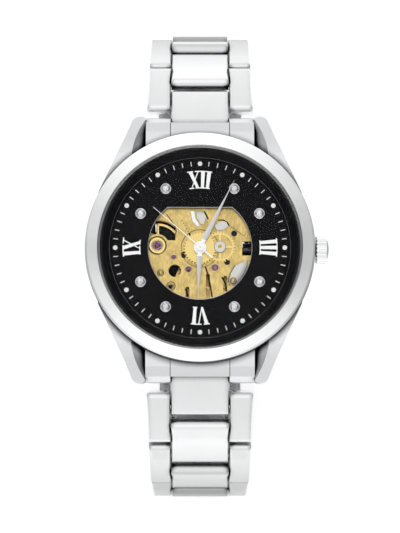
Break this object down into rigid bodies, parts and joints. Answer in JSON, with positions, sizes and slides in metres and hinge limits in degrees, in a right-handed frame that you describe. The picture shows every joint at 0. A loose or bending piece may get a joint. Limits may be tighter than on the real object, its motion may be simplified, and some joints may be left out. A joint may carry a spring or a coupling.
{
  "type": "skeleton wristwatch",
  "caption": "Round steel wristwatch with an open-heart black dial, self-winding movement and three-row link bracelet closed by a fold-over clasp.",
  "frame": {"origin": "middle of the clasp cover's flat outer face, under the dial's axis", "axes": "+Z is the dial's normal, +Y points to 12 o'clock, +X points to the crown at 3 o'clock"},
  "size_m": [0.0446, 0.09, 0.0513],
  "materials": {
    "case_steel": "brushed flanks with polished bevels",
    "bezel_steel": "fine satin",
    "polished_steel": "polished",
    "link_steel": "polished",
    "pin_steel": "turned",
    "blade_steel": "satin",
    "crystal": "clear",
    "rehaut": "gloss black",
    "dial_black": "gloss black lacquer",
    "applied_silver": "polished",
    "stone": "faceted",
    "holder": "satin",
    "gilt": "gilt, fine brushed",
    "brass_wheel": "satin",
    "balance_gilt": "polished",
    "wheel_steel": "satin",
    "dark_steel": "oiled dark steel",
    "blued_steel": "heat blued",
    "spring_steel": "polished",
    "ruby": "polished synthetic ruby",
    "hand_steel": "polished",
    "rotor_steel": "striped satin"
  },
  "bodies": {
    "head": {"mid_case": "case_steel", "bezel": "bezel_steel", "crystal": "crystal", "rehaut_ring": "rehaut", "dial": "dial_black", "hour_numerals": "applied_silver", "hour_stones": "stone", "movement_holder": "holder", "case_back": "case_steel", "back_glass": "crystal", "crown_tube": "case_steel", "end_links": "link_steel", "spring_bars": "pin_steel", "mainplate": "gilt", "barrel_bridge": "gilt", "train_bridge": "gilt", "balance_cock": "gilt", "pallet_bridge": "gilt", "train_jewels": "ruby", "movement_screws": "blued_steel"},
    "sliding_pinion_body": {"sliding_pinion": "dark_steel"},
    "crown_body": {"crown": "polished_steel", "winding_stem": "pin_steel"},
    "winding_pinion_body": {"winding_pinion": "dark_steel"},
    "crown_wheel_body": {"crown_wheel": "wheel_steel"},
    "ratchet_body": {"ratchet_wheel": "wheel_steel"},
    "click_body": {"click": "wheel_steel"},
    "barrel_body": {"barrel_drum": "brass_wheel", "mainspring": "spring_steel"},
    "center_body": {"center_wheel": "brass_wheel"},
    "third_body": {"third_wheel": "brass_wheel"},
    "fourth_body": {"fourth_wheel": "brass_wheel", "seconds_hand": "hand_steel"},
    "escape_body": {"escape_wheel": "wheel_steel"},
    "pallet_body": {"pallet_fork": "wheel_steel"},
    "balance_body": {"balance_wheel": "balance_gilt", "hairspring": "spring_steel"},
    "cannon_body": {"cannon_pinion": "wheel_steel", "minute_hand": "hand_steel"},
    "minute_wheel_body": {"minute_wheel": "wheel_steel"},
    "hour_body": {"hour_wheel": "brass_wheel", "hour_hand": "hand_steel"},
    "rotor_body": {"rotor": "rotor_steel"},
    "clasp_inner": {"clasp_inner_blade": "blade_steel"},
    "clasp_middle": {"clasp_middle_blade": "blade_steel"},
    "clasp_cover_body": {"clasp_cover": "link_steel"},
    "button_left": {"clasp_button_left": "polished_steel"},
    "button_right": {"clasp_button_right": "polished_steel"},
    "bracelet_12_1": {"bracelet_12_unit_1": "link_steel"},
    "bracelet_12_2": {"bracelet_12_unit_2": "link_steel"},
    "bracelet_12_3": {"bracelet_12_unit_3": "link_steel"},
    "bracelet_12_4": {"bracelet_12_unit_4": "link_steel"},
    "bracelet_12_5": {"bracelet_12_unit_5": "link_steel"},
    "bracelet_12_6": {"bracelet_12_unit_6": "link_steel"},
    "bracelet_6_1": {"bracelet_6_unit_1": "link_steel"},
    "bracelet_6_2": {"bracelet_6_unit_2": "link_steel"},
    "bracelet_6_3": {"bracelet_6_unit_3": "link_steel"},
    "bracelet_6_4": {"bracelet_6_unit_4": "link_steel"},
    "bracelet_6_5": {"bracelet_6_unit_5": "link_steel"},
    "bracelet_6_6": {"bracelet_6_unit_6": "link_steel"}
  },
  "joints": [
    {"name": "crown_turn", "type": "hinge", "parent": "head", "child": "sliding_pinion_body", "pos_m": [0.0084, 0, 0.04505], "axis": [1, 0, 0], "continuous": true},
    {"name": "crown_pull", "type": "slide", "parent": "sliding_pinion_body", "child": "crown_body", "axis": [1, 0, 0], "range_m": [0, 0.001]},
    {"name": "winding_pinion_turn", "type": "hinge", "parent": "head", "child": "winding_pinion_body", "pos_m": [0.0096, 0, 0.04505], "axis": [1, 0, 0], "continuous": true},
    {"name": "crown_wheel_turn", "type": "hinge", "parent": "head", "child": "crown_wheel_body", "pos_m": [0.00641, 0, 0.04345], "axis": [0, 0, 1], "continuous": true},
    {"name": "ratchet_turn", "type": "hinge", "parent": "head", "child": "ratchet_body", "pos_m": [0.0026, 0.00623, 0.04345], "axis": [0, 0, 1], "continuous": true},
    {"name": "click_swing", "type": "hinge", "parent": "head", "child": "click_body", "pos_m": [-0.00135, 0.01019, 0.04335], "axis": [0, 0, 1], "range_deg": [0, 8]},
    {"name": "fourth_wheel_turn", "type": "hinge", "parent": "head", "child": "fourth_body", "pos_m": [0, 0, 0.04505], "axis": [0, 0, 1], "continuous": true},
    {"name": "third_wheel_turn", "type": "hinge", "parent": "head", "child": "third_body", "pos_m": [0.00274, -0.00351, 0.04505], "axis": [0, 0, 1], "continuous": true},
    {"name": "center_wheel_turn", "type": "hinge", "parent": "head", "child": "center_body", "pos_m": [0, 0, 0.04555], "axis": [0, 0, 1], "continuous": true},
    {"name": "barrel_turn", "type": "hinge", "parent": "head", "child": "barrel_body", "pos_m": [0.0026, 0.00623, 0.04505], "axis": [0, 0, 1], "continuous": true, "deforming": ["mainspring"]},
    {"name": "escape_wheel_turn", "type": "hinge", "parent": "head", "child": "escape_body", "pos_m": [-0.00211, -0.0038, 0.04505], "axis": [0, 0, 1], "continuous": true},
    {"name": "pallet_rock", "type": "hinge", "parent": "head", "child": "pallet_body", "pos_m": [-0.0048, -0.0016, 0.04535], "axis": [0, 0, 1], "range_deg": [-6, 6]},
    {"name": "balance_swing", "type": "hinge", "parent": "head", "child": "balance_body", "pos_m": [-0.0078, 0.00055, 0.04465], "axis": [0, 0, 1], "range_deg": [-220, 220], "deforming": ["hairspring"]},
    {"name": "minute_hand_turn", "type": "hinge", "parent": "head", "child": "cannon_body", "pos_m": [0, 0, 0.04765], "axis": [0, 0, 1], "continuous": true},
    {"name": "minute_wheel_turn", "type": "hinge", "parent": "head", "child": "minute_wheel_body", "pos_m": [0.00365, 0.00026, 0.04765], "axis": [0, 0, 1], "continuous": true},
    {"name": "hour_hand_turn", "type": "hinge", "parent": "head", "child": "hour_body", "pos_m": [0, 0, 0.04805], "axis": [0, 0, 1], "continuous": true},
    {"name": "rotor_swing", "type": "hinge", "parent": "head", "child": "rotor_body", "pos_m": [0, 0, 0.04255], "axis": [0, 0, 1], "continuous": true},
    {"name": "bracelet_12_hinge_1", "type": "hinge", "parent": "head", "child": "bracelet_12_1", "pos_m": [0, 0.023, 0.04505], "axis": [1, 0, 0], "range_deg": [0, 25]},
    {"name": "bracelet_12_hinge_2", "type": "hinge", "parent": "bracelet_12_1", "child": "bracelet_12_2", "pos_m": [0, 0.0328, 0.03962], "axis": [1, 0, 0], "range_deg": [0, 19]},
    {"name": "bracelet_12_hinge_3", "type": "hinge", "parent": "bracelet_12_2", "child": "bracelet_12_3", "pos_m": [0, 0.04029, 0.0313], "axis": [1, 0, 0], "range_deg": [0, 27]},
    {"name": "bracelet_12_hinge_4", "type": "hinge", "parent": "bracelet_12_3", "child": "bracelet_12_4", "pos_m": [0, 0.04319, 0.02048], "axis": [1, 0, 0], "range_deg": [0, 37]},
    {"name": "bracelet_12_hinge_5", "type": "hinge", "parent": "bracelet_12_4", "child": "bracelet_12_5", "pos_m": [0, 0.03899, 0.01009], "axis": [1, 0, 0], "range_deg": [0, 36]},
    {"name": "bracelet_12_hinge_6", "type": "hinge", "parent": "bracelet_12_5", "child": "bracelet_12_6", "pos_m": [0, 0.0295, 0.00416], "axis": [1, 0, 0], "range_deg": [0, 24]},
    {"name": "bracelet_6_hinge_1", "type": "hinge", "parent": "head", "child": "bracelet_6_1", "pos_m": [0, -0.023, 0.04505], "axis": [-1, 0, 0], "range_deg": [0, 25]},
    {"name": "bracelet_6_hinge_2", "type": "hinge", "parent": "bracelet_6_1", "child": "bracelet_6_2", "pos_m": [0, -0.0328, 0.03962], "axis": [-1, 0, 0], "range_deg": [0, 19]},
    {"name": "bracelet_6_hinge_3", "type": "hinge", "parent": "bracelet_6_2", "child": "bracelet_6_3", "pos_m": [0, -0.04029, 0.0313], "axis": [-1, 0, 0], "range_deg": [0, 27]},
    {"name": "bracelet_6_hinge_4", "type": "hinge", "parent": "bracelet_6_3", "child": "bracelet_6_4", "pos_m": [0, -0.04319, 0.02048], "axis": [-1, 0, 0], "range_deg": [0, 37]},
    {"name": "bracelet_6_hinge_5", "type": "hinge", "parent": "bracelet_6_4", "child": "bracelet_6_5", "pos_m": [0, -0.03899, 0.01009], "axis": [-1, 0, 0], "range_deg": [0, 36]},
    {"name": "bracelet_6_hinge_6", "type": "hinge", "parent": "bracelet_6_5", "child": "bracelet_6_6", "pos_m": [0, -0.0295, 0.00416], "axis": [-1, 0, 0], "range_deg": [0, 24]},
    {"name": "clasp_swing", "type": "hinge", "parent": "bracelet_12_6", "child": "clasp_inner", "pos_m": [0, 0.0184, 0.0026], "axis": [1, 0, 0], "range_deg": [0, 35]},
    {"name": "clasp_open", "type": "hinge", "parent": "clasp_inner", "child": "clasp_middle", "pos_m": [0, -0.013, 0.00215], "axis": [-1, 0, 0], "range_deg": [0, 75]},
    {"name": "clasp_cover_open", "type": "hinge", "parent": "clasp_middle", "child": "clasp_cover_body", "pos_m": [0, 0.013, 0.0017], "axis": [1, 0, 0], "range_deg": [0, 150]},
    {"name": "button_left_press", "type": "slide", "parent": "clasp_cover_body", "child": "button_left", "axis": [1, 0, 0], "range_m": [0, 0.0005]},
    {"name": "button_right_press", "type": "slide", "parent": "clasp_cover_body", "child": "button_right", "axis": [-1, 0, 0], "range_m": [0, 0.0005]}
  ],
  "couplings": [
    {"joint": "winding_pinion_turn", "follows": "crown_turn", "ratio": 1},
    {"joint": "crown_wheel_turn", "follows": "crown_turn", "ratio": 0.46875},
    {"joint": "ratchet_turn", "follows": "crown_turn", "ratio": -0.36585},
    {"joint": "third_wheel_turn", "follows": "fourth_wheel_turn", "ratio": -0.13333},
    {"joint": "center_wheel_turn", "follows": "fourth_wheel_turn", "ratio": 0.016667},
    {"joint": "barrel_turn", "follows": "fourth_wheel_turn", "ratio": -0.0025641},
    {"joint": "escape_wheel_turn", "follows": "fourth_wheel_turn", "ratio": -12},
    {"joint": "minute_wheel_turn", "follows": "minute_hand_turn", "ratio": -0.33333},
    {"joint": "hour_hand_turn", "follows": "minute_hand_turn", "ratio": 0.083333},
    {"joint": "clasp_cover_open", "follows": "clasp_open", "ratio": 2}
  ]
}
